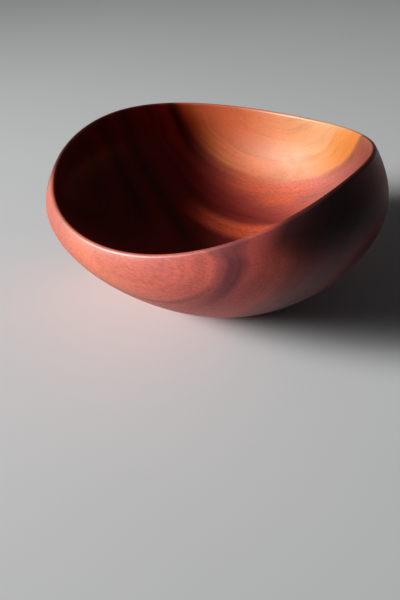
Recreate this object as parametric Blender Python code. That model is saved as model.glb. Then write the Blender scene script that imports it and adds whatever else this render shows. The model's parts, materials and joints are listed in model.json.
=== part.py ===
"""Oval wooden bowl with a leaning, undulating rim, standing on felt pads let into its foot.

Metres, +Z up. The origin is on the table under the middle of the bowl, and +X runs along its length.
"""

from math import cos, pi, radians, sin

import bmesh
import bpy
from mathutils import Vector

# Outside of the bowl, with heights taken from the table
LENGTH = 0.270
WIDTH = 0.220
BELLY_HEIGHT = 0.080
BELLY_TILT = 0.017
FOOT_LENGTH = 0.112
FOOT_WIDTH = 0.091
WALL_FULLNESS = 1.8

# Rim: its mean height, a tilt to the belly's side, crests at both ends and the turn of the wall below it
RIM_HEIGHT = 0.104
RIM_TILT = 0.020
TILT_AZIMUTH = radians(33)
RIM_CREST = 0.0115
RIM_INCURVE = 0.0075
INCURVE_POWER = 1.7

# Wall and hollow
BELLY_WALL = 0.0060
LIP_WALL = 0.0030
FLOOR_THICKNESS = 0.011
HOLLOW_FULLNESS = 1.85

# Felt pads in the foot
PAD_DIAMETER = 0.018
PAD_THICKNESS = 0.0030
PAD_PROUD = 0.0010
PAD_EDGE_MARGIN = 0.008
PAD_CLEARANCE = 0.0003
PAD_AZIMUTHS = {
    "right_front": radians(-45),
    "right_back": radians(45),
    "left_front": radians(-135),
    "left_back": radians(135),
}

# Fineness of the meshes
SECTIONS = 72
WALL_STATIONS = 22
LIP_STATIONS = 6
HOLLOW_STATIONS = 18
FINE_STATIONS = 120
PAD_SIDES = 32

FOOT_LEVEL = PAD_PROUD
FLOOR_LEVEL = FOOT_LEVEL + FLOOR_THICKNESS
HALF_SIZES = (LENGTH / 2, WIDTH / 2)
FOOT_HALF_SIZES = (FOOT_LENGTH / 2, FOOT_WIDTH / 2)


def clear_scene():
    """Remove every object, so that the scene holds only the bowl."""
    for item in list(bpy.data.objects):
        bpy.data.objects.remove(item)


def make_collection(name):
    """Add a collection to the scene."""
    group = bpy.data.collections.new(name)
    bpy.context.scene.collection.children.link(group)
    return group


def make_material(name, colour, roughness):
    """Make a plain material for one sub-part."""
    material = bpy.data.materials.new(name)
    material.use_nodes = True
    shader = material.node_tree.nodes["Principled BSDF"]
    shader.inputs["Base Color"].default_value = (*colour, 1.0)
    shader.inputs["Roughness"].default_value = roughness
    shader.inputs["Metallic"].default_value = 0.0
    return material


def make_object(name, bm, group, material=None):
    """Turn a bmesh into an object whose faces of many sides are flat ends, with smooth walls between."""
    for face in bm.faces:
        face.smooth = len(face.verts) <= 4
    mesh = bpy.data.meshes.new(name)
    bm.to_mesh(mesh)
    bm.free()
    if material:
        mesh.materials.append(material)
    item = bpy.data.objects.new(name, mesh)
    group.objects.link(item)
    return item


def belly_height(azimuth):
    """Height of the widest part of the wall at an azimuth of the oval."""
    return BELLY_HEIGHT + BELLY_TILT * cos(azimuth - TILT_AZIMUTH)


def rim_height(azimuth):
    """Height of the top of the lip at an azimuth of the oval."""
    return RIM_HEIGHT + RIM_TILT * cos(azimuth - TILT_AZIMUTH) + RIM_CREST * cos(2 * azimuth)


def incurve(height, belly):
    """Inward turn of the wall at a height above the belly."""
    return RIM_INCURVE * ((height - belly) / (RIM_HEIGHT - BELLY_HEIGHT)) ** INCURVE_POWER


def outside(height, belly):
    """Half-length and half-width of the outside at a height, where the belly has its own height."""
    if height < belly:
        share = 1 - ((belly - height) / (belly - FOOT_LEVEL)) ** WALL_FULLNESS
        reaches = [foot + (half - foot) * share for half, foot in zip(HALF_SIZES, FOOT_HALF_SIZES)]
    else:
        reaches = [half - incurve(height, belly) for half in HALF_SIZES]
    return Vector((*reaches, height))


def inside(height, belly, rim):
    """Half-length and half-width of the hollow at a height, where the wall thins from belly to rim."""
    if height < belly:
        drop = (belly - height) / (belly - FLOOR_LEVEL)
        share = max(1 - drop ** HOLLOW_FULLNESS, 0) ** (1 / HOLLOW_FULLNESS)
        reaches = [(half - BELLY_WALL) * share for half in HALF_SIZES]
    else:
        wall = BELLY_WALL + (LIP_WALL - BELLY_WALL) * ((height - belly) / (rim - belly)) ** 2
        reaches = [half - incurve(height, belly) - wall for half in HALF_SIZES]
    return Vector((*reaches, height))


def spaced_evenly(points, count):
    """Pick points at even distances along a path, with both ends kept."""
    lengths = [0.0]
    for before, after in zip(points, points[1:]):
        lengths.append(lengths[-1] + (after - before).length)
    picked = []
    index = 0
    for step in range(count):
        target = lengths[-1] * step / (count - 1)
        while index < len(points) - 2 and lengths[index + 1] < target:
            index += 1
        share = (target - lengths[index]) / (lengths[index + 1] - lengths[index])
        picked.append(points[index].lerp(points[index + 1], share))
    return picked


def heights_up(bottom, top):
    """Heights from a level bottom up to a top, closest together at the bottom."""
    return [bottom + (top - bottom) * (step / FINE_STATIONS) ** 2 for step in range(FINE_STATIONS + 1)]


def outer_wall(top, belly):
    """Wall from the edge of the foot up to the lip."""
    return spaced_evenly([outside(height, belly) for height in heights_up(FOOT_LEVEL, top)], WALL_STATIONS)


def lip(belly, rim):
    """Half-round lip from the outer wall over to the hollow, without its two ends."""
    points = []
    for step in range(1, LIP_STATIONS):
        angle = pi * step / LIP_STATIONS
        height = rim - LIP_WALL / 2 * (1 - sin(angle))
        points.append(outside(height, belly).lerp(inside(height, belly, rim), (1 - cos(angle)) / 2))
    return points


def hollow_wall(top, belly, rim):
    """Inside from the lip down to the middle of the floor."""
    path = [inside(height, belly, rim) for height in reversed(heights_up(FLOOR_LEVEL, top))]
    return spaced_evenly(path, HOLLOW_STATIONS)


def wall_section(azimuth):
    """Section of the bowl at an azimuth, from the foot over the lip to the middle of the floor."""
    belly = belly_height(azimuth)
    rim = rim_height(azimuth)
    top = rim - LIP_WALL / 2
    section = outer_wall(top, belly) + lip(belly, rim) + hollow_wall(top, belly, rim)
    return [Vector((point.x * cos(azimuth), point.y * sin(azimuth), point.z)) for point in section]


def make_bowl(group, cutters, material):
    """Loft the bowl through its sections, then sink a recess for each pad in the foot."""
    bm = bmesh.new()
    azimuths = [2 * pi * step / SECTIONS for step in range(SECTIONS)]
    sections = [[bm.verts.new(point) for point in wall_section(azimuth)[:-1]] for azimuth in azimuths]
    middle = bm.verts.new((0, 0, FLOOR_LEVEL))
    for section, following in zip(sections, sections[1:] + sections[:1]):
        for lower in range(len(section) - 1):
            upper = lower + 1
            bm.faces.new((section[lower], following[lower], following[upper], section[upper]))
        bm.faces.new((section[-1], following[-1], middle))
    bm.faces.new([section[0] for section in reversed(sections)])
    bmesh.ops.recalc_face_normals(bm, faces=bm.faces)
    bowl = make_object("bowl_body", bm, group, material)
    for place, azimuth in PAD_AZIMUTHS.items():
        cut = bowl.modifiers.new("recess_" + place, "BOOLEAN")
        cut.operation = "DIFFERENCE"
        cut.object = make_recess_cutter(place, azimuth, cutters)


def make_disc(diameter, bottom, top):
    """Make an upright disc between two heights."""
    bm = bmesh.new()
    bmesh.ops.create_cone(
        bm,
        cap_ends=True,
        segments=PAD_SIDES,
        radius1=diameter / 2,
        radius2=diameter / 2,
        depth=top - bottom,
    )
    bmesh.ops.translate(bm, verts=bm.verts, vec=(0, 0, (bottom + top) / 2))
    return bm


def pad_place(azimuth):
    """Middle of a pad, inside the edge of the flat foot."""
    inset = PAD_EDGE_MARGIN + PAD_DIAMETER / 2
    half_length, half_width = FOOT_HALF_SIZES
    return Vector(((half_length - inset) * cos(azimuth), (half_width - inset) * sin(azimuth), 0))


def make_recess_cutter(place, azimuth, cutters):
    """Make the cutter for one pad's recess, open through the foot."""
    bm = make_disc(PAD_DIAMETER + 2 * PAD_CLEARANCE, -PAD_PROUD, PAD_THICKNESS + PAD_CLEARANCE)
    cutter = make_object("recess_cutter_" + place, bm, cutters)
    cutter.location = pad_place(azimuth)
    cutter.hide_render = True
    cutter.display_type = "WIRE"
    return cutter


def make_pads(group, material):
    """Make the felt pads that the bowl stands on."""
    for place, azimuth in PAD_AZIMUTHS.items():
        pad = make_object("foot_pad_" + place, make_disc(PAD_DIAMETER, 0, PAD_THICKNESS), group, material)
        pad.location = pad_place(azimuth)


def main():
    """Build the bowl and its pads."""
    clear_scene()
    parts = make_collection("oval_wooden_bowl")
    cutters = make_collection("recess_cutters")
    wood = make_material("oiled_hardwood", (0.42, 0.11, 0.05), 0.38)
    felt = make_material("brown_felt", (0.05, 0.03, 0.02), 0.95)
    make_bowl(parts, cutters, wood)
    make_pads(parts, felt)


main()
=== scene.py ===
"""Looks of an oval wooden bowl: figured, oiled hardwood on felt pads, on a plain pale floor.

Metres, +Z up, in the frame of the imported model. +X runs along the bowl's length.
"""

from __future__ import annotations

import json
import logging
import math
from dataclasses import dataclass
from enum import Enum
from typing import Any, Sequence, Union

import bpy
import numpy as np
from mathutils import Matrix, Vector

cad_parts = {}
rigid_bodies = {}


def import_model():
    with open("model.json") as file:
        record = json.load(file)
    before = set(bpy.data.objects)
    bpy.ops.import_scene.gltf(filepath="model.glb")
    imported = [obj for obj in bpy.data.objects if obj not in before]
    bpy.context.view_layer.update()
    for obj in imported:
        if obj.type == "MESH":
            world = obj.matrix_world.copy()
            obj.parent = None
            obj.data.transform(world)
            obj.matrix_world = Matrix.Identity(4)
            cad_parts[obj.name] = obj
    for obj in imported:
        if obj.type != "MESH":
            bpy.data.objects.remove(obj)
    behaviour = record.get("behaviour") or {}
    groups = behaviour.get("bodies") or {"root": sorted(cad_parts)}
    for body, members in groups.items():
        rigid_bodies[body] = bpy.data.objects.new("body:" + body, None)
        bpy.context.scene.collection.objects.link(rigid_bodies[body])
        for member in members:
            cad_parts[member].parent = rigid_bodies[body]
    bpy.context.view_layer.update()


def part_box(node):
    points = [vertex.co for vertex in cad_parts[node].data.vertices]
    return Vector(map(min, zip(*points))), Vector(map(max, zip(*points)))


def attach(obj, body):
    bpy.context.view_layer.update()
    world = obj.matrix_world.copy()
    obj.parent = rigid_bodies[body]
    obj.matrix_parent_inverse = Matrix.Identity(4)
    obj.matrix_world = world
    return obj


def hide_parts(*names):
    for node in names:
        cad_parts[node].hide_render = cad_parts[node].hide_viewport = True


LOG = logging.getLogger("oval_bowl")
LIP_ATTRIBUTE = "lip_wear"
MM = 0.001
NOISE_MEAN = 0.5

Span = tuple[float, float]
Triple = tuple[float, float, float]
Link = Union[bpy.types.NodeSocket, float, Triple]


class BowlFace(Enum):
    """Finishes on the bowl's wood, by material slot."""

    OILED = 0
    BARE = 1


class PadPlace(Enum):
    """Felt pads under the foot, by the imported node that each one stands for."""

    RIGHT_FRONT = "foot_pad_right_front"
    RIGHT_BACK = "foot_pad_right_back"
    LEFT_FRONT = "foot_pad_left_front"
    LEFT_BACK = "foot_pad_left_back"


class Graph:
    """Short calls for adding nodes to one shader node tree."""

    # Sockets of a Mix node that mixes colours
    MIX_FACTOR, MIX_FIRST, MIX_SECOND = 0, 6, 7
    MIX_RESULT = 2

    def __init__(self, tree: bpy.types.NodeTree) -> None:
        """Keep the tree that nodes are added to."""
        self.tree = tree

    def node(self, kind: str, **settings: Any) -> bpy.types.Node:
        """Add a node.

        Args:
            kind: Node type without its ShaderNode prefix.
            settings: Properties to set on the node.

        Returns:
            The new node.
        """
        node = self.tree.nodes.new("ShaderNode" + kind)
        for name, value in settings.items():
            setattr(node, name, value)
        return node

    def feed(self, socket: bpy.types.NodeSocket, value: Link) -> None:
        """Link a socket to another node's output, or set it to a constant.

        Args:
            socket: Input to feed.
            value: Output or constant that it gets.
        """
        if isinstance(value, bpy.types.NodeSocket):
            self.tree.links.new(value, socket)
        else:
            socket.default_value = value

    def maths(self, operation: str, first: Link, second: Link = 0.0, third: Link = 0.0) -> Link:
        """Combine values with a Math node.

        Args:
            operation: Name of the Math operation.
            first: First value or output.
            second: Second value or output.
            third: Third value or output, for operations that take one.

        Returns:
            The node's output.
        """
        node = self.node("Math", operation=operation)
        for socket, value in zip(node.inputs, (first, second, third)):
            self.feed(socket, value)
        return node.outputs[0]

    def vector(self, operation: str, first: Link, second: Link = (0.0, 0.0, 0.0)) -> Link:
        """Combine vectors with a Vector Math node.

        Args:
            operation: Name of the Vector Math operation.
            first: First vector or output.
            second: Second vector or output.

        Returns:
            The node's vector output, or its value for LENGTH.
        """
        node = self.node("VectorMath", operation=operation)
        self.feed(node.inputs[0], first)
        self.feed(node.inputs[1], second)
        return node.outputs["Value" if operation == "LENGTH" else "Vector"]

    def noise(self, position: Link, detail: float = 2.0, roughness: float = 0.5) -> bpy.types.Node:
        """Add a noise texture with one cell to a unit of its position.

        Args:
            position: Output that holds the position, already scaled.
            detail: Octaves of finer noise.
            roughness: Strength of the finer octaves.

        Returns:
            The noise node, with its Fac and Color outputs.
        """
        node = self.node("TexNoise")
        node.inputs["Scale"].default_value = 1.0
        node.inputs["Detail"].default_value = detail
        node.inputs["Roughness"].default_value = roughness
        self.feed(node.inputs["Vector"], position)
        return node

    def remap(
        self, value: Link, low: float, high: float, to_low: float = 0.0, to_high: float = 1.0
    ) -> Link:
        """Map a range smoothly onto another one.

        Args:
            value: Output to map.
            low: Value that becomes to_low.
            high: Value that becomes to_high.
            to_low: Result at and below low.
            to_high: Result at and above high.

        Returns:
            The mapped value.
        """
        node = self.node("MapRange", interpolation_type="SMOOTHSTEP")
        limits = {"From Min": low, "From Max": high, "To Min": to_low, "To Max": to_high}
        for name, constant in limits.items():
            node.inputs[name].default_value = constant
        self.feed(node.inputs["Value"], value)
        return node.outputs["Result"]

    def mix(self, factor: Link, first: Link, second: Link, blend: str = "MIX") -> Link:
        """Mix two colours.

        Args:
            factor: Share of the second colour.
            first: Colour or output below.
            second: Colour or output on top.
            blend: Name of the blend mode.

        Returns:
            The mixed colour.
        """
        node = self.node("Mix", data_type="RGBA", blend_type=blend)
        self.feed(node.inputs[self.MIX_FACTOR], factor)
        for place, value in ((self.MIX_FIRST, first), (self.MIX_SECOND, second)):
            self.feed(node.inputs[place], (*value, 1.0) if isinstance(value, tuple) else value)
        return node.outputs[self.MIX_RESULT]

    def ramp(self, value: Link, stops: Sequence[tuple[float, Triple]]) -> Link:
        """Colour a value by a list of stops.

        Args:
            value: Output between 0 and 1.
            stops: Places and colours, in rising order.

        Returns:
            The colour.
        """
        node = self.node("ValToRGB")
        elements = node.color_ramp.elements
        node.color_ramp.interpolation = "EASE"
        while len(elements) < len(stops):
            elements.new(1.0)
        for element, (place, colour) in zip(elements, stops):
            element.position = place
            element.color = (*colour, 1.0)
        self.feed(node.inputs[0], value)
        return node.outputs[0]


def new_group(
    name: str, inputs: dict[str, str], outputs: dict[str, str]
) -> tuple[bpy.types.NodeTree, Graph, bpy.types.Node, bpy.types.Node]:
    """Start a shader node group with named sockets.

    Args:
        name: Name of the group.
        inputs: Socket types by input name.
        outputs: Socket types by output name.

    Returns:
        The group, its graph, its input node and its output node.
    """
    tree = bpy.data.node_groups.new(name, "ShaderNodeTree")
    for in_out, sockets in (("INPUT", inputs), ("OUTPUT", outputs)):
        for socket, kind in sockets.items():
            tree.interface.new_socket(socket, in_out=in_out, socket_type="NodeSocket" + kind)
    return tree, Graph(tree), tree.nodes.new("NodeGroupInput"), tree.nodes.new("NodeGroupOutput")


def place_group(graph: Graph, tree: bpy.types.NodeTree, **values: Link) -> bpy.types.Node:
    """Place a node group in a material.

    Args:
        graph: Graph of the material.
        tree: Group to place.
        values: Inputs by name, with underscores for spaces.

    Returns:
        The group node.
    """
    node = graph.node("Group", node_tree=tree)
    for name, value in values.items():
        graph.feed(node.inputs[name.replace("_", " ")], value)
    return node


def new_material(name: str) -> tuple[bpy.types.Material, Graph, bpy.types.Node]:
    """Start a material.

    Args:
        name: Name of the material.

    Returns:
        The material, its graph and its Principled BSDF.
    """
    material = bpy.data.materials.new(name)
    material.use_nodes = True
    graph = Graph(material.node_tree)
    return material, graph, material.node_tree.nodes["Principled BSDF"]


def soft_shade(
    graph: Graph, mottle: bpy.types.NodeTree, position: Link, size: float, amount: float
) -> Link:
    """Place the soft mottle in a material.

    Args:
        graph: Graph of the material.
        mottle: Group with the slow change of shade.
        position: Output that holds the position.
        size: Size of the patches.
        amount: How far their shade swings.

    Returns:
        Factor around 1.
    """
    node = place_group(graph, mottle, Position=position, Size=size, Amount=amount)
    return node.outputs["Factor"]


def add_relief(
    graph: Graph, shader: bpy.types.Node, height: Link, strength: float, depth: float
) -> None:
    """Give a material relief from a height.

    Args:
        graph: Graph of the material.
        shader: Its Principled BSDF.
        height: Output that holds the height.
        strength: Strength of the relief.
        depth: Depth that a height of 1 stands for.
    """
    bump = graph.node("Bump")
    bump.inputs["Strength"].default_value = strength
    bump.inputs["Distance"].default_value = depth
    graph.feed(bump.inputs["Height"], height)
    graph.feed(shader.inputs["Normal"], bump.outputs["Normal"])


@dataclass(frozen=True)
class MottleGroup:
    """Slow, soft change of shade over a surface, shared by the wood, the felt and the floor."""

    name: str = "soft_mottle"
    detail: float = 3.0

    def build(self) -> bpy.types.NodeTree:
        """Make the group, which turns a position into a factor around 1.

        Returns:
            The group.
        """
        tree, graph, given, result = new_group(
            self.name,
            {"Position": "Vector", "Size": "Float", "Amount": "Float"},
            {"Factor": "Float"},
        )
        scaled = graph.vector("DIVIDE", given.outputs["Position"], given.outputs["Size"])
        noise = graph.noise(scaled, self.detail).outputs["Fac"]
        swing = graph.maths("SUBTRACT", noise, NOISE_MEAN)
        factor = graph.maths("MULTIPLY_ADD", swing, given.outputs["Amount"], 1.0)
        graph.feed(result.inputs["Factor"], factor)
        return tree


@dataclass(frozen=True)
class Streak:
    """Streak of another colour along the grain, at one distance from the pith.

    It is full within its core and gone at its half-width. It begins over its rise along the grain
    and ends over its fall.
    """

    radius: float
    core: float
    half_width: float
    colour: Triple
    rise: Span = (-1.0, -0.9)
    fall: Span = (0.9, 1.0)
    blend: str = "MIX"

    def share(self, graph: Graph, along: Link, radius: Link) -> Link:
        """Work out how much of the streak shows.

        Args:
            graph: Graph to add nodes to.
            along: Distance along the grain.
            radius: Distance from the pith.

        Returns:
            Share between 0 and 1.
        """
        off_middle = graph.maths("ABSOLUTE", graph.maths("SUBTRACT", radius, self.radius))
        across = graph.remap(off_middle, self.core, self.half_width, 1.0, 0.0)
        begun = graph.maths("MULTIPLY", across, graph.remap(along, *self.rise))
        return graph.maths("MULTIPLY", begun, graph.remap(along, *self.fall, 1.0, 0.0))


@dataclass(frozen=True)
class LogHalf:
    """Colours of the log on one side of its pith, by distance from the pith.

    Distances along the grain run one way behind the pith and the other way in front of it.
    """

    direction: float
    heart_bands: float
    tint: Triple
    stops: tuple[tuple[float, Triple], ...]
    streaks: tuple[Streak, ...]

    # Drift of the colours out from the pith, in the heart and in the sapwood
    lean: float = 0.13
    lean_reach: Span = (-0.080, 0.045)
    lean_fade: Span = (0.076, 0.090)
    sap_lean: float = 0.0
    sap_lean_reach: Span = (-0.025, 0.035)
    sap_lean_start: Span = (0.085, 0.093)

    # Reach of the tint along the grain, and the edge between heart and sapwood
    tint_fade: Span = (-0.060, 0.050)
    sap_edge: Span = (0.088, 0.096)

    # Dark bands, and the breaks in the streaks
    sap_bands: float = 0.06
    band_range: Span = (0.48, 0.70)
    band_shade: Triple = (0.36, 0.30, 0.34)
    band_fade: Span = (0.0, 0.050)
    band_rest: float = 0.30
    broken: Span = (0.30, 0.60)
    broken_rest: float = 0.80

    def leaning_radius(self, graph: Graph, along: Link, radius: Link) -> Link:
        """Work out the distance that colours the wood, as its rings widen along the grain.

        Args:
            graph: Graph to add nodes to.
            along: Distance along the grain.
            radius: Distance from the pith.

        Returns:
            The distance, with one lean in the heart and another in the sapwood.
        """
        shortest, longest = self.lean_reach
        limited = graph.maths("MINIMUM", graph.maths("MAXIMUM", along, shortest), longest)
        depth = graph.remap(radius, *self.lean_fade, self.lean, 0.0)
        leaning = graph.maths("MULTIPLY_ADD", limited, depth, radius)
        begun = graph.remap(radius, *self.sap_lean_start)
        widening = graph.remap(along, *self.sap_lean_reach, self.sap_lean, 0.0)
        shift = graph.maths("MULTIPLY", begun, widening)
        return graph.maths("ADD", leaning, shift)

    def colour(self, graph: Graph, axis: Link, radius: Link, bands: Link) -> Link:
        """Colour the wood.

        Args:
            graph: Graph to add nodes to.
            axis: Distance along the pith.
            radius: Distance from the pith.
            bands: Noise that darkens the heart in bands and breaks up the streaks.

        Returns:
            The colour.
        """
        along = graph.maths("MULTIPLY", axis, self.direction)
        outer = self.stops[-1][0]
        share = graph.maths("DIVIDE", self.leaning_radius(graph, along, radius), outer)
        colour = graph.ramp(share, [(place / outer, stop) for place, stop in self.stops])
        tinted = graph.remap(along, *self.tint_fade, 1.0, 0.0)
        colour = graph.mix(tinted, colour, self.tint, "MULTIPLY")

        depth = graph.remap(radius, *self.sap_edge, self.heart_bands, self.sap_bands)
        fading = graph.remap(along, *self.band_fade, 1.0, self.band_rest)
        strength = graph.maths("MULTIPLY", depth, fading)
        banded = graph.maths("MULTIPLY", graph.remap(bands, *self.band_range), strength)
        colour = graph.mix(banded, colour, self.band_shade, "MULTIPLY")

        broken = graph.remap(bands, *self.broken, self.broken_rest, 1.0)
        for streak in self.streaks:
            shown = graph.maths("MULTIPLY", streak.share(graph, along, radius), broken)
            colour = graph.mix(shown, colour, streak.colour, streak.blend)
        return colour


HEART_EDGE = Streak(
    radius=0.0899,
    core=0.0010,
    half_width=0.0050,
    colour=(0.27, 0.29, 0.43),
    fall=(-0.088, -0.040),
    blend="MULTIPLY",
)
BLOTCH = Streak(
    radius=0.0930,
    core=0.0010,
    half_width=0.0075,
    colour=(0.74, 0.74, 0.84),
    fall=(-0.085, -0.065),
    blend="MULTIPLY",
)
THREAD = Streak(
    radius=0.0940,
    core=0.0002,
    half_width=0.0018,
    colour=(0.60, 0.64, 0.70),
    rise=(-0.090, -0.050),
    fall=(0.010, 0.050),
    blend="MULTIPLY",
)
EMBER = Streak(
    radius=0.0885,
    core=0.0015,
    half_width=0.0055,
    colour=(0.74, 0.098, 0.020),
    rise=(-0.050, -0.010),
    fall=(0.025, 0.065),
)
GLOW = Streak(
    radius=0.0838,
    core=0.0020,
    half_width=0.0052,
    colour=(0.67, 0.090, 0.018),
    rise=(-0.012, 0.016),
    fall=(0.026, 0.044),
)
# Yellow-orange band of the sapwood by the heart edge, made brighter still as painted light toward
# the left of the hollow, where the light falls off
HONEY_AND_PAINTED_LIGHT = Streak(
    radius=0.0970,
    core=0.0030,
    half_width=0.0052,
    colour=(0.88, 0.205, 0.050),
    rise=(-0.085, -0.040),
    fall=(-0.020, 0.020),
)
# Painted shade: darkens the back half's heart more and more toward the bowl's right end
PAINTED_SHADE_BAND = Streak(
    radius=0.0840,
    core=0.0080,
    half_width=0.0100,
    colour=(0.42, 0.68, 0.92),
    rise=(0.045, 0.095),
    blend="MULTIPLY",
)
AMBER = Streak(
    radius=0.0650,
    core=0.0020,
    half_width=0.0058,
    colour=(0.92, 0.145, 0.056),
    rise=(-0.065, -0.020),
    fall=(0.055, 0.085),
)
BACK_HALF = LogHalf(
    direction=1.0,
    heart_bands=0.60,
    # Toward the bowl's left end the tint makes the wood redder and darker: partly its own colour,
    # partly painted shade
    tint=(0.92, 0.39, 0.31),
    sap_lean=0.005,
    streaks=(HEART_EDGE, EMBER, GLOW, HONEY_AND_PAINTED_LIGHT, PAINTED_SHADE_BAND, AMBER),
    stops=(
        (0.000, (0.100, 0.015, 0.012)),
        (0.012, (0.060, 0.010, 0.010)),
        (0.022, (0.140, 0.020, 0.015)),
        (0.032, (0.070, 0.011, 0.012)),
        (0.041, (0.160, 0.022, 0.016)),
        (0.048, (0.080, 0.012, 0.012)),
        (0.055, (0.180, 0.026, 0.020)),
        (0.060, (0.230, 0.030, 0.022)),
        (0.066, (0.220, 0.024, 0.017)),
        (0.0705, (0.330, 0.030, 0.023)),
        (0.073, (0.290, 0.026, 0.018)),
        (0.077, (0.360, 0.042, 0.024)),
        (0.081, (0.450, 0.064, 0.032)),
        (0.086, (0.460, 0.076, 0.038)),
        (0.0915, (0.440, 0.086, 0.044)),
        (0.0935, (0.590, 0.178, 0.034)),
        (0.097, (0.600, 0.190, 0.036)),
        (0.1005, (0.660, 0.235, 0.054)),
        # The outermost sapwood stops are paler and bluer than the wood, with a painted sheen in
        # them for the broad gloss high on the far wall
        (0.106, (0.745, 0.345, 0.150)),
        (0.150, (0.745, 0.345, 0.150)),
    ),
)
FRONT_HALF = LogHalf(
    direction=-1.0,
    heart_bands=0.16,
    tint=(1.00, 0.72, 0.98),
    streaks=(HEART_EDGE, BLOTCH, THREAD),
    stops=(
        (0.000, (0.100, 0.015, 0.012)),
        (0.014, (0.060, 0.010, 0.010)),
        (0.026, (0.130, 0.019, 0.015)),
        (0.038, (0.070, 0.011, 0.012)),
        (0.050, (0.150, 0.022, 0.017)),
        (0.057, (0.280, 0.056, 0.034)),
        (0.064, (0.530, 0.115, 0.060)),
        (0.072, (0.520, 0.108, 0.058)),
        (0.084, (0.500, 0.112, 0.070)),
        (0.092, (0.520, 0.134, 0.080)),
        # The front sapwood's stops are pinker and bluer than the wood, with a painted sheen in them
        # for the outside wall
        (0.097, (0.650, 0.170, 0.088)),
        (0.101, (0.680, 0.182, 0.096)),
        (0.105, (0.630, 0.172, 0.098)),
        (0.150, (0.630, 0.172, 0.098)),
    ),
)


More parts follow.
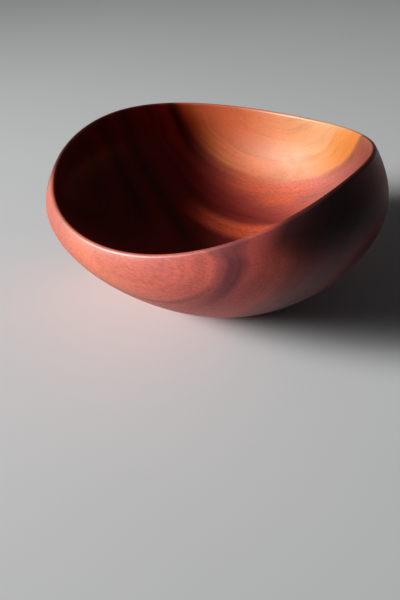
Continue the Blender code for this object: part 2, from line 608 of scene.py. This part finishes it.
@dataclass(frozen=True)
class GrowthRings:
    """Figure of the log that the bowl is carved from, as a solid pattern around its pith.

    The pith runs level, nearly along the bowl. Positions in the log have X along the pith, Y to the
    bowl's back and Z up. The cells of sway, ripple and pores follow these axes. Those of bands and
    lines run out from the pith, along it and around it.
    """

    name: str = "growth_ring_figure"

    # Pith, and the blend between the log's halves on either side of it
    grain_azimuth: float = math.radians(7.9)
    pith_side: float = -0.0053
    pith_height: float = 0.0629
    side_blend: float = 0.030

    # Hook of the front half's rings near the rim, and painted shade under the rim at one end
    front_turn: float = 0.0035
    front_turn_heights: Span = (0.030, 0.041)
    # Painted shade in the front half under the rim, at the bowl's right end
    painted_shade_reach: Span = (0.088, 0.101)
    painted_shade_heights: Span = (0.026, 0.048)
    painted_end_shade: Triple = (0.14, 0.16, 0.20)

    # Sway of the rings
    sway: float = 0.0028
    sway_cell: Triple = (0.110, 0.045, 0.045)
    ripple: float = 0.0005
    ripple_cell: Triple = (0.040, 0.012, 0.012)
    sway_detail: float = 1.0

    # Dark bands and fine lines that follow the rings
    band_cell: Triple = (0.0045, 0.120, 0.060)
    band_detail: float = 2.0
    line_cell: Triple = (0.0016, 0.090, 0.045)
    line_detail: float = 3.0
    line_range: Span = (0.48, 0.72)
    line_colour: Triple = (0.130, 0.018, 0.014)
    line_relief: float = -0.3

    # Pores, which are more closed in the sapwood
    pore_cell: Triple = (0.0040, 0.0009, 0.0009)
    pore_detail: float = 2.0
    pore_range: Span = (0.38, 0.68)
    pore_colour: Triple = (0.100, 0.018, 0.015)
    pore_relief: float = -1.0
    sap_closing: float = 0.65

    def grain_position(self, graph: Graph, position: Link) -> Link:
        """Turn a position on the bowl into one along the grain, with the pith at zero.

        Args:
            graph: Graph to add nodes to.
            position: Position on the bowl.

        Returns:
            The position in the log.
        """
        turned = graph.node("VectorRotate", rotation_type="Z_AXIS")
        turned.inputs["Angle"].default_value = -self.grain_azimuth
        graph.feed(turned.inputs["Vector"], position)
        return graph.vector("SUBTRACT", turned.outputs[0], (0.0, self.pith_side, self.pith_height))

    def ring_radius(self, graph: Graph, place: Link) -> Link:
        """Work out a distance from the pith that sways as the rings of a log do.

        Args:
            graph: Graph to add nodes to.
            place: Position in the log.

        Returns:
            The distance.
        """
        swayed = place
        for amount, cell in ((self.sway, self.sway_cell), (self.ripple, self.ripple_cell)):
            noise = graph.noise(graph.vector("DIVIDE", place, cell), self.sway_detail)
            swing = graph.vector("SUBTRACT", noise.outputs["Color"], (NOISE_MEAN,) * 3)
            shift = graph.vector("MULTIPLY", swing, (0.0, 2 * amount, 2 * amount))
            swayed = graph.vector("ADD", swayed, shift)
        return graph.vector("LENGTH", graph.vector("MULTIPLY", swayed, (0.0, 1.0, 1.0)))

    def turned_radius(self, graph: Graph, radius: Link, height: Link, behind: Link) -> Link:
        """Spread the front half's rings outwards near the rim, where its figure hooks back.

        Args:
            graph: Graph to add nodes to.
            radius: Distance from the pith.
            height: Height above the pith.
            behind: 1 in the log's back half, 0 in its front half.

        Returns:
            The distance that the rings follow.
        """
        in_front = graph.maths("SUBTRACT", 1.0, behind)
        share = graph.maths("MULTIPLY", graph.remap(height, *self.front_turn_heights), in_front)
        return graph.maths("MULTIPLY_ADD", share, -self.front_turn, radius)

    def paint_end_shade(self, graph: Graph, colour: Link, axes: Sequence[Link], behind: Link) -> Link:
        """Paint shade into the log's front half near the rim, at one end of the bowl.

        Args:
            graph: Graph to add nodes to.
            colour: Colour of the wood.
            axes: Position in the log, as three values.
            behind: 1 in the log's back half, 0 in its front half.

        Returns:
            The colour with the painted shade.
        """
        # Painted shade: full at the bowl's right end, high under the rim, in the front half only
        along, _, height = axes
        at_end = graph.remap(along, *self.painted_shade_reach)
        near_rim = graph.remap(height, *self.painted_shade_heights)
        reached = graph.maths("MULTIPLY", at_end, near_rim)
        share = graph.maths("MULTIPLY", reached, graph.maths("SUBTRACT", 1.0, behind))
        return graph.mix(share, colour, self.painted_end_shade, "MULTIPLY")

    def ring_noise(
        self, graph: Graph, axes: Sequence[Link], radius: Link, cell: Triple, detail: float
    ) -> Link:
        """Add noise that is drawn out along the grain and around the rings.

        Args:
            graph: Graph to add nodes to.
            axes: Position in the log, as three values.
            radius: Distance from the pith.
            cell: Size of the noise out from the pith, along the grain and around it.
            detail: Octaves of finer noise.

        Returns:
            The noise value.
        """
        along, side, height = axes
        around = graph.maths("SUBTRACT", side, height)
        place = graph.node("CombineXYZ")
        for socket, value in zip(place.inputs, (radius, along, around)):
            graph.feed(socket, value)
        return graph.noise(graph.vector("DIVIDE", place.outputs[0], cell), detail).outputs["Fac"]

    def build(self) -> bpy.types.NodeTree:
        """Make the group, which turns a position into the wood's colour, pores and relief.

        Returns:
            The group.
        """
        tree, graph, given, result = new_group(
            self.name,
            {"Position": "Vector", "Line Strength": "Float", "Pore Strength": "Float"},
            {"Colour": "Color", "Pores": "Float", "Height": "Float"},
        )
        place = self.grain_position(graph, given.outputs["Position"])
        parts = graph.node("SeparateXYZ")
        graph.feed(parts.inputs[0], place)
        axes = tuple(parts.outputs)
        behind = graph.remap(axes[1], -self.side_blend, self.side_blend)
        radius = self.turned_radius(graph, self.ring_radius(graph, place), axes[2], behind)
        bands = self.ring_noise(graph, axes, radius, self.band_cell, self.band_detail)
        halves = [half.colour(graph, axes[0], radius, bands) for half in (FRONT_HALF, BACK_HALF)]
        # The front half's end under the rim gets painted shade
        colour = self.paint_end_shade(graph, graph.mix(behind, *halves), axes, behind)

        fine = self.ring_noise(graph, axes, radius, self.line_cell, self.line_detail)
        drawn = graph.remap(fine, *self.line_range)
        lines = graph.maths("MULTIPLY", drawn, given.outputs["Line Strength"])
        colour = graph.mix(lines, colour, self.line_colour)

        speckle = graph.noise(graph.vector("DIVIDE", place, self.pore_cell), self.pore_detail)
        sapwood = graph.maths("MULTIPLY", behind, graph.remap(radius, *BACK_HALF.sap_edge))
        openness = graph.maths("MULTIPLY_ADD", sapwood, -self.sap_closing, 1.0)
        holes = graph.remap(speckle.outputs["Fac"], *self.pore_range)
        deep = graph.maths("MULTIPLY", holes, openness)
        pores = graph.maths("MULTIPLY", deep, given.outputs["Pore Strength"])
        colour = graph.mix(pores, colour, self.pore_colour)

        sunk = graph.maths("MULTIPLY", pores, self.pore_relief)
        height = graph.maths("MULTIPLY_ADD", lines, self.line_relief, sunk)
        for name, value in (("Colour", colour), ("Pores", pores), ("Height", height)):
            graph.feed(result.inputs[name], value)
        return tree


@dataclass(frozen=True)
class WoodFinish:
    """One finish on the bowl's wood."""

    name: str
    roughness: float
    line_strength: float
    pore_strength: float
    relief: float
    lip_polish: float
    paleness: float
    pale_colour: Triple = (0.62, 0.36, 0.22)
    shade_cell: float = 0.035
    shade_amount: float = 0.25
    sheen_cell: float = 0.012
    sheen_amount: float = 0.35
    pore_dulling: float = 0.20
    specular: float = 0.40
    coat_roughness: float = 0.40
    relief_depth: float = 0.2 * MM

    def build(self, rings: bpy.types.NodeTree, mottle: bpy.types.NodeTree) -> bpy.types.Material:
        """Make the material.

        Args:
            rings: Group with the log's figure.
            mottle: Group with the slow change of shade.

        Returns:
            The material.
        """
        material, graph, shader = new_material(self.name)
        position = graph.node("TexCoord").outputs["Object"]
        figure = place_group(
            graph,
            rings,
            Position=position,
            Line_Strength=self.line_strength,
            Pore_Strength=self.pore_strength,
        )
        shade = soft_shade(graph, mottle, position, self.shade_cell, self.shade_amount)
        shaded = graph.mix(1.0, figure.outputs["Colour"], shade, "MULTIPLY")
        graph.feed(shader.inputs["Base Color"], graph.mix(self.paleness, shaded, self.pale_colour))

        cloud = soft_shade(graph, mottle, position, self.sheen_cell, self.sheen_amount)
        rough = graph.maths("MULTIPLY", cloud, self.roughness)
        rough = graph.maths("MULTIPLY_ADD", figure.outputs["Pores"], self.pore_dulling, rough)
        graph.feed(shader.inputs["Roughness"], rough)
        shader.inputs["Specular IOR Level"].default_value = self.specular
        if self.lip_polish > 0:
            lip = graph.node("Attribute", attribute_name=LIP_ATTRIBUTE).outputs["Fac"]
            polish = graph.maths("MULTIPLY", lip, self.lip_polish)
            graph.feed(shader.inputs["Coat Weight"], polish)
            shader.inputs["Coat Roughness"].default_value = self.coat_roughness

        add_relief(graph, shader, figure.outputs["Height"], self.relief, self.relief_depth)
        return material


@dataclass(frozen=True)
class FeltFinish:
    """Matted brown felt of the foot pads."""

    name: str = "brown_felt"
    colour: Triple = (0.050, 0.030, 0.020)
    fibre_colour: Triple = (0.120, 0.080, 0.055)
    fibre_cell: float = 0.0006
    fibre_detail: float = 4.0
    fibre_sharpness: float = 0.7
    fibre_range: Span = (0.45, 0.70)
    shade_cell: float = 0.004
    shade_amount: float = 0.6
    roughness: float = 0.95
    sheen: float = 0.3
    relief: float = 0.6
    relief_depth: float = 0.4 * MM

    def build(self, mottle: bpy.types.NodeTree) -> bpy.types.Material:
        """Make the material.

        Args:
            mottle: Group with the slow change of shade.

        Returns:
            The material.
        """
        material, graph, shader = new_material(self.name)
        position = graph.node("TexCoord").outputs["Object"]
        scaled = graph.vector("DIVIDE", position, (self.fibre_cell,) * 3)
        fibres = graph.noise(scaled, self.fibre_detail, self.fibre_sharpness).outputs["Fac"]
        pale = graph.remap(fibres, *self.fibre_range)
        colour = graph.mix(pale, self.colour, self.fibre_colour)
        shade = soft_shade(graph, mottle, position, self.shade_cell, self.shade_amount)
        graph.feed(shader.inputs["Base Color"], graph.mix(1.0, colour, shade, "MULTIPLY"))
        shader.inputs["Roughness"].default_value = self.roughness
        shader.inputs["Sheen Weight"].default_value = self.sheen
        add_relief(graph, shader, fibres, self.relief, self.relief_depth)
        return material


def full_turn(count: int) -> np.ndarray:
    """Angles at even steps around a full turn."""
    return np.linspace(0.0, 2 * math.pi, count, endpoint=False)


def even_path(points: np.ndarray, count: int) -> np.ndarray:
    """Pick points at even distances along a path, with both ends kept.

    Args:
        points: Path as rows of coordinates.
        count: How many points to pick.

    Returns:
        The picked points.
    """
    steps = np.linalg.norm(np.diff(points, axis=0), axis=1)
    lengths = np.concatenate([[0.0], np.cumsum(steps)])
    targets = np.linspace(0.0, lengths[-1], count)
    return np.stack([np.interp(targets, lengths, column) for column in points.T], axis=1)


def link_mesh(name: str, vertices: np.ndarray, faces: Sequence[Sequence[int]]) -> bpy.types.Object:
    """Make a smooth mesh object in the scene.

    Args:
        name: Name of the object and its mesh.
        vertices: Rows of coordinates.
        faces: Corner numbers of each face.

    Returns:
        The object.
    """
    mesh = bpy.data.meshes.new(name)
    mesh.from_pydata(vertices.tolist(), [], faces)
    mesh.validate()
    mesh.shade_smooth()
    item = bpy.data.objects.new(name, mesh)
    bpy.context.scene.collection.objects.link(item)
    return item


def ring_faces(rings: int, sides: int) -> list[tuple[int, int, int, int]]:
    """Number the faces between closed rings of points.

    Args:
        rings: How many rings there are.
        sides: How many points each ring has.

    Returns:
        Faces that point away from the axis when the rings run upwards.
    """
    faces = []
    for ring in range(rings - 1):
        for side in range(sides):
            following = (side + 1) % sides
            low, high = ring * sides, (ring + 1) * sides
            faces.append((low + side, low + following, high + following, high + side))
    return faces


@dataclass
class FootPads:
    """Felt pads let into the foot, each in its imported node's place."""

    sides: int = 96
    edge_round: float = 0.0006
    edge_steps: int = 5
    flat_reach: Span = (0.15, 0.9)
    flat_rings: int = 4
    fuzz: float = 0.00012
    fuzz_start: float = 0.5
    seed: int = 11

    def profile(self, radius: float, low: float, high: float) -> np.ndarray:
        """Work out a pad's outline from the middle of its underside to the middle of its top.

        Args:
            radius: Radius of the pad.
            low: Height of its underside.
            high: Height of its top.

        Returns:
            Rows of radius and height.
        """
        turns = np.linspace(0.0, math.pi / 2, self.edge_steps)
        inner = radius - self.edge_round
        reach, rise = np.sin(turns), 1 - np.cos(turns)
        lower = np.stack([inner + self.edge_round * reach, low + self.edge_round * rise], 1)
        upper = np.stack([lower[::-1, 0], high + low - lower[::-1, 1]], 1)
        shares = np.linspace(*self.flat_reach, self.flat_rings)
        flat = shares[:, None] * np.array([[inner, 0.0]])
        return np.concatenate([flat + [0.0, low], lower, upper, flat[::-1] + [0.0, high]])

    def build(self, place: PadPlace, felt: bpy.types.Material) -> bpy.types.Object:
        """Make one pad.

        Args:
            place: Which pad to make.
            felt: Its material.

        Returns:
            The pad.
        """
        low, high = (Vector(corner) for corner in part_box(place.value))
        middle = (low + high) / 2
        radius = (high.x - low.x) / 2
        profile = self.profile(radius - self.fuzz, low.z, high.z)
        count = len(profile)
        turns = full_turn(self.sides)
        draws = np.random.default_rng(self.seed)
        fuzz = draws.uniform(-self.fuzz, self.fuzz, (count, self.sides))
        reach = profile[:, :1] + fuzz * (profile[:, :1] > radius * self.fuzz_start)
        x = middle.x + reach * np.cos(turns)
        y = middle.y + reach * np.sin(turns)
        points = np.stack([x, y, np.broadcast_to(profile[:, 1:], reach.shape)], -1)
        faces: list[Sequence[int]] = list(ring_faces(count, self.sides))
        faces.append(tuple(reversed(range(self.sides))))
        faces.append(tuple(range((count - 1) * self.sides, count * self.sides)))
        pad = link_mesh(place.value.replace("foot_pad", "felt_pad"), points.reshape(-1, 3), faces)
        pad.data.materials.append(felt)
        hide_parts(place.value)
        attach(pad, "root")
        LOG.info("felt pad %s made", pad.name)
        return pad


@dataclass
class Bowl:
    """The carved wooden vessel: an incurved, leaning oval wall under a swaying round lip."""

    # Outside, with heights taken from the table
    length: float
    width: float
    foot_level: float
    top: float
    belly_height: float = 0.080
    belly_tilt: float = 0.017
    tilt_azimuth: float = math.radians(33)
    foot_length: float = 0.112
    foot_width: float = 0.091
    wall_fullness: float = 1.8

    # Rim, and the turn of the wall below it
    rim_tilt: float = 0.020
    rim_crest: float = 0.0115
    rim_incurve: float = 0.0075
    incurve_power: float = 1.7

    # Wall, hollow and the pads' recesses
    belly_wall: float = 0.0060
    lip_wall: float = 0.0030
    floor_thickness: float = 0.011
    hollow_fullness: float = 1.85
    recess_clearance: float = 0.0003
    recess_sides: int = 64

    # Fineness of the mesh, and the polish near the lip
    sections: int = 216
    wall_stations: int = 48
    lip_stations: int = 14
    hollow_stations: int = 52
    fine_stations: int = 400
    lip_wear_depth: float = 0.018
    sharp_angle: float = math.radians(25)

    @classmethod
    def from_frame(cls) -> Bowl:
        """Take the bowl's length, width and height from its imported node.

        Returns:
            The bowl, not built yet.
        """
        low, high = (Vector(corner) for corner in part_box("bowl_body"))
        return cls(
            length=2 * min(high.x, -low.x),
            width=2 * min(high.y, -low.y),
            foot_level=low.z,
            top=high.z,
        )

    @property
    def azimuths(self) -> np.ndarray:
        """Azimuths of the bowl's sections."""
        return full_turn(self.sections)

    @property
    def rim_height(self) -> float:
        """Mean height of the rim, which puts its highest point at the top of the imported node."""
        return self.top - float(self.rim_wave(self.azimuths).max())

    @property
    def floor_level(self) -> float:
        """Height of the middle of the hollow's floor."""
        return self.foot_level + self.floor_thickness

    def rim_wave(self, azimuth: np.ndarray) -> np.ndarray:
        """Rise of the rim over its mean height at each azimuth of the oval."""
        tilt = self.rim_tilt * np.cos(azimuth - self.tilt_azimuth)
        return tilt + self.rim_crest * np.cos(2 * azimuth)

    def belly(self, azimuth: float) -> float:
        """Height of the widest part of the wall at an azimuth of the oval."""
        return self.belly_height + self.belly_tilt * math.cos(azimuth - self.tilt_azimuth)

    def incurve(self, height: np.ndarray, belly: float) -> np.ndarray:
        """Inward turn of the wall above the belly."""
        climb = np.clip((height - belly) / (self.rim_height - self.belly_height), 0.0, None)
        return self.rim_incurve * climb**self.incurve_power

    def outside(self, height: np.ndarray, belly: float) -> np.ndarray:
        """Work out the outside of a section.

        Args:
            height: Heights to work it out at.
            belly: Height of the section's widest part.

        Returns:
            Rows of half-length, half-width and height.
        """
        drop = np.clip((belly - height) / (belly - self.foot_level), 0.0, 1.0)
        inset = self.incurve(height, belly)
        taper = drop**self.wall_fullness
        sizes = ((self.length, self.foot_length), (self.width, self.foot_width))
        reaches = [size / 2 - (size - foot) / 2 * taper - inset for size, foot in sizes]
        return np.stack([*reaches, height], axis=-1)

    def inside(self, height: np.ndarray, belly: float, rim: float) -> np.ndarray:
        """Work out the hollow of a section, where the wall thins from belly to rim.

        Args:
            height: Heights to work it out at.
            belly: Height of the section's widest part.
            rim: Height of the top of its lip.

        Returns:
            Rows of half-length, half-width and height.
        """
        drop = np.clip((belly - height) / (belly - self.floor_level), 0.0, 1.0)
        share = (1 - drop**self.hollow_fullness) ** (1 / self.hollow_fullness)
        thinning = np.clip((height - belly) / (rim - belly), 0.0, None) ** 2
        inset = self.incurve(height, belly) - (self.belly_wall - self.lip_wall) * thinning
        sizes = (self.length, self.width)
        reaches = [(size / 2 - self.belly_wall) * share - inset for size in sizes]
        return np.stack([*reaches, height], axis=-1)

    def section(self, azimuth: float) -> np.ndarray:
        """Work out a section from the edge of the foot over the lip to the middle of the floor.

        Args:
            azimuth: Azimuth of the section on the oval.

        Returns:
            Rows of coordinates.
        """
        belly = self.belly(azimuth)
        rim = self.rim_height + float(self.rim_wave(np.array(azimuth)))
        half_wall = self.lip_wall / 2
        base = rim - half_wall
        climb = np.linspace(0.0, 1.0, self.fine_stations) ** 2
        wall_heights = self.foot_level + (base - self.foot_level) * climb
        wall = even_path(self.outside(wall_heights, belly), self.wall_stations)
        hollow_heights = self.floor_level + (base - self.floor_level) * climb[::-1]
        hollow = even_path(self.inside(hollow_heights, belly, rim), self.hollow_stations)
        turn = np.linspace(0.0, math.pi, self.lip_stations + 1)[1:-1]
        heights = base + half_wall * np.sin(turn)
        across = ((1 - np.cos(turn)) / 2)[:, None]
        outer, inner = self.outside(heights, belly), self.inside(heights, belly, rim)
        lip = outer * (1 - across) + inner * across
        section = np.concatenate([wall, lip, hollow])
        return section * np.array([math.cos(azimuth), math.sin(azimuth), 1.0])

    def shell(self) -> bpy.types.Object:
        """Loft the closed wooden body through its sections.

        Returns:
            The body, without recesses.
        """
        sections = np.stack([self.section(azimuth)[:-1] for azimuth in self.azimuths], axis=1)
        rings = sections.shape[0]
        points = np.concatenate([sections.reshape(-1, 3), [[0.0, 0.0, self.floor_level]]])
        faces: list[Sequence[int]] = list(ring_faces(rings, self.sections))
        last = (rings - 1) * self.sections
        for side in range(self.sections):
            faces.append((last + side, last + (side + 1) % self.sections, len(points) - 1))
        faces.append(tuple(reversed(range(self.sections))))
        return link_mesh("carved_bowl", points, faces)

    def sink_recesses(self, body: bpy.types.Object) -> None:
        """Cut the pads' recesses into the foot.

        Args:
            body: Bowl to cut.
        """
        cutters = []
        for place in PadPlace:
            low, high = (Vector(corner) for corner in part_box(place.value))
            bpy.ops.mesh.primitive_cylinder_add(
                vertices=self.recess_sides,
                radius=(high.x - low.x) / 2 + self.recess_clearance,
                depth=2 * (high.z + self.recess_clearance),
                location=((low.x + high.x) / 2, (low.y + high.y) / 2, 0.0),
            )
            cutters.append(bpy.context.object)
            cut = body.modifiers.new("recess", "BOOLEAN")
            cut.operation = "DIFFERENCE"
            cut.object = cutters[-1]
        evaluated = body.evaluated_get(bpy.context.evaluated_depsgraph_get())
        cut_mesh = bpy.data.meshes.new_from_object(evaluated)
        body.modifiers.clear()
        body.data = cut_mesh
        for cutter in cutters:
            bpy.data.objects.remove(cutter)
        cut_mesh.shade_smooth()
        cut_mesh.set_sharp_from_angle(angle=self.sharp_angle)

    def mark_lip(self, mesh: bpy.types.Mesh) -> None:
        """Store how close each point is to the top of the lip, where hands polish the wood.

        Args:
            mesh: Mesh to mark.
        """
        points = np.empty(len(mesh.vertices) * 3)
        mesh.vertices.foreach_get("co", points)
        x, y, z = points.reshape(-1, 3).T
        azimuth = np.arctan2(y / self.width, x / self.length)
        below = self.rim_height + self.rim_wave(azimuth) - z
        wear = np.clip(1 - below / self.lip_wear_depth, 0.0, 1.0) ** 2
        attribute = mesh.attributes.new(LIP_ATTRIBUTE, "FLOAT", "POINT")
        attribute.data.foreach_set("value", wear.astype(np.float32))

    def is_under(self, place: Vector) -> bool:
        """Tell whether a place is on the foot or in a recess, where the wood stays bare."""
        within = math.hypot(2 * place.x / self.foot_length, 2 * place.y / self.foot_width) < 1
        return within and place.z < self.floor_level / 2

    def build(self, finishes: dict[BowlFace, bpy.types.Material]) -> bpy.types.Object:
        """Make the bowl and dress it.

        Args:
            finishes: Material for each finish on the wood.

        Returns:
            The bowl.
        """
        body = self.shell()
        self.sink_recesses(body)
        mesh = body.data
        mesh.materials.clear()
        for face in BowlFace:
            mesh.materials.append(finishes[face])
        for polygon in mesh.polygons:
            face = BowlFace.BARE if self.is_under(polygon.center) else BowlFace.OILED
            polygon.material_index = face.value
        self.mark_lip(mesh)
        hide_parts("bowl_body")
        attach(body, "root")
        LOG.info("carved bowl made: %.1f x %.1f mm", self.length / MM, self.width / MM)
        return body


@dataclass
class Studio:
    """Pale floor, soft light and the camera."""

    # Floor
    floor_radius: float = 4.0
    floor_sides: int = 128
    floor_drop: float = 0.1 * MM
    floor_colour: Triple = (0.76, 0.77, 0.77)
    floor_roughness: float = 0.9
    floor_specular: float = 0.0
    floor_shade_cell: float = 0.25
    floor_shade_amount: float = 0.06

    # Key light, low on the left, and the even fill
    aim_height: float = 0.06
    key_azimuth: float = math.radians(230)
    key_elevation: float = math.radians(19)
    key_distance: float = 2.8
    key_width: float = 0.8
    key_height: float = 1.4
    key_spread: float = math.radians(50)
    key_power: float = 13.8
    fill_colour: Triple = (0.90, 0.95, 1.0)
    fill_strength: float = 0.032

    # Camera
    camera_place: Triple = (0.3562, -0.4103, 0.3804)
    camera_pitch: float = math.radians(36.475)
    camera_turn: float = math.radians(41.64)
    lens: float = 50.0
    sensor: float = 36.0

    def lay_floor(self, mottle: bpy.types.NodeTree) -> None:
        """Lay a plain round floor.

        Args:
            mottle: Group with the slow change of shade.
        """
        turns = full_turn(self.floor_sides)
        rim = np.stack([np.cos(turns), np.sin(turns), np.zeros(self.floor_sides)], 1)
        edge = [tuple(range(self.floor_sides))]
        floor = link_mesh("studio_floor", rim * self.floor_radius, edge)
        floor.location.z = -self.floor_drop
        material, graph, shader = new_material("pale_floor")
        position = graph.node("TexCoord").outputs["Object"]
        shade = soft_shade(
            graph, mottle, position, self.floor_shade_cell, self.floor_shade_amount
        )
        colour = graph.mix(1.0, self.floor_colour, shade, "MULTIPLY")
        graph.feed(shader.inputs["Base Color"], colour)
        shader.inputs["Roughness"].default_value = self.floor_roughness
        shader.inputs["Specular IOR Level"].default_value = self.floor_specular
        floor.data.materials.append(material)
        LOG.info("floor laid")

    def hang_key(self) -> None:
        """Hang the soft key light, aimed at the bowl."""
        lamp = bpy.data.lights.new("soft_key", "AREA")
        lamp.shape = "RECTANGLE"
        lamp.size = self.key_width
        lamp.size_y = self.key_height
        lamp.spread = self.key_spread
        lamp.energy = self.key_power
        key = bpy.data.objects.new("soft_key", lamp)
        flat = self.key_distance * math.cos(self.key_elevation)
        target = Vector((0.0, 0.0, self.aim_height))
        offset = Vector((
            flat * math.cos(self.key_azimuth),
            flat * math.sin(self.key_azimuth),
            self.key_distance * math.sin(self.key_elevation),
        ))
        key.location = target + offset
        key.rotation_euler = (-offset).to_track_quat("-Z", "Y").to_euler()
        bpy.context.scene.collection.objects.link(key)
        LOG.info("key light hung")

    def fill(self) -> None:
        """Fill the shade with even light from all round."""
        world = bpy.data.worlds.new("soft_fill")
        world.use_nodes = True
        background = world.node_tree.nodes["Background"]
        background.inputs["Color"].default_value = (*self.fill_colour, 1.0)
        background.inputs["Strength"].default_value = self.fill_strength
        bpy.context.scene.world = world
        LOG.info("fill light set")

    def set_camera(self) -> None:
        """Put the camera where it sees the bowl from the photograph's angle."""
        data = bpy.data.cameras.new("camera")
        data.lens = self.lens
        data.sensor_width = self.sensor
        camera = bpy.data.objects.new("camera", data)
        camera.location = self.camera_place
        camera.rotation_euler = (math.pi / 2 - self.camera_pitch, 0.0, self.camera_turn)
        bpy.context.scene.collection.objects.link(camera)
        bpy.context.scene.camera = camera
        LOG.info("camera set")

    def build(self, mottle: bpy.types.NodeTree) -> None:
        """Set up the floor, the lights and the camera.

        Args:
            mottle: Group with the slow change of shade.
        """
        self.set_camera()
        self.lay_floor(mottle)
        self.hang_key()
        self.fill()
        bpy.context.scene.view_settings.view_transform = "Standard"


OILED_WOOD = WoodFinish(
    name="oiled_hardwood",
    roughness=0.48,
    line_strength=0.18,
    pore_strength=0.30,
    relief=0.45,
    lip_polish=1.0,
    paleness=0.0,
)
BARE_WOOD = WoodFinish(
    name="sanded_hardwood",
    roughness=0.62,
    line_strength=0.5,
    pore_strength=0.7,
    relief=0.5,
    lip_polish=0.0,
    paleness=0.15,
)


def main() -> None:
    """Build the bowl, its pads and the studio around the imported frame."""
    logging.basicConfig(level=logging.INFO, format="%(name)s: %(message)s")
    for item in list(bpy.data.objects):
        bpy.data.objects.remove(item)
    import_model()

    mottle = MottleGroup().build()
    rings = GrowthRings().build()
    Studio().build(mottle)
    finishes = {
        BowlFace.OILED: OILED_WOOD.build(rings, mottle),
        BowlFace.BARE: BARE_WOOD.build(rings, mottle),
    }
    Bowl.from_frame().build(finishes)
    felt = FeltFinish().build(mottle)
    pads = FootPads()
    for place in PadPlace:
        pads.build(place, felt)


if __name__ == "__main__":
    main()
